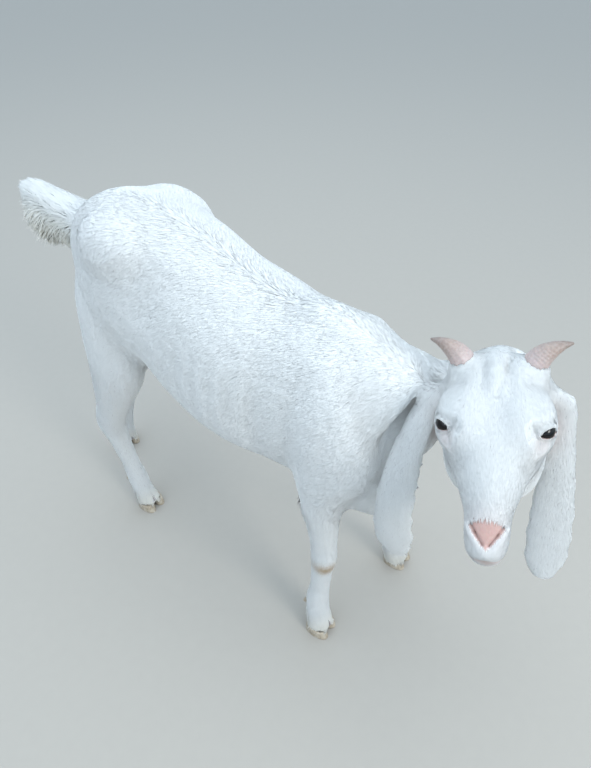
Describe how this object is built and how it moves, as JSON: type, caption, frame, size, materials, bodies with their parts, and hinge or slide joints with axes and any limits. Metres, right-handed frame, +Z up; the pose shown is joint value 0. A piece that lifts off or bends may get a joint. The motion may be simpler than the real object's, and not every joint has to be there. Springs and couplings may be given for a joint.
{
  "type": "goat",
  "caption": "Young long-eared white goat standing still with its head turned to its right, life size, modelled as a museum figure.",
  "frame": {"origin": "centre of the bounding box's base, on the floor the goat stands on", "axes": "+Z up, +Y toward the tail, +X toward the goat's left, -Y the way the trunk faces"},
  "size_m": [0.269, 0.8148, 0.5908],
  "materials": {
    "coat": "matte",
    "horn": "satin",
    "eye": "gloss",
    "hoof": "matte"
  },
  "bodies": {
    "root": {"head": "coat", "trunk": "coat", "neck": "coat", "tail": "coat", "ear_left": "coat", "ear_right": "coat", "foreleg_left_upper": "coat", "foreleg_left_lower": "coat", "foreleg_right_upper": "coat", "foreleg_right_lower": "coat", "hindleg_left_upper": "coat", "hindleg_left_lower": "coat", "hindleg_right_upper": "coat", "hindleg_right_lower": "coat", "horn_left": "horn", "horn_right": "horn", "eye_left": "eye", "eye_right": "eye", "foreclaw_left_inner": "hoof", "foreclaw_left_outer": "hoof", "foreclaw_right_inner": "hoof", "foreclaw_right_outer": "hoof", "foredewclaw_left_inner": "hoof", "foredewclaw_left_outer": "hoof", "foredewclaw_right_inner": "hoof", "foredewclaw_right_outer": "hoof", "hindclaw_left_inner": "hoof", "hindclaw_left_outer": "hoof", "hindclaw_right_inner": "hoof", "hindclaw_right_outer": "hoof", "hinddewclaw_left_inner": "hoof", "hinddewclaw_left_outer": "hoof", "hinddewclaw_right_inner": "hoof", "hinddewclaw_right_outer": "hoof"}
  },
  "joints": []
}
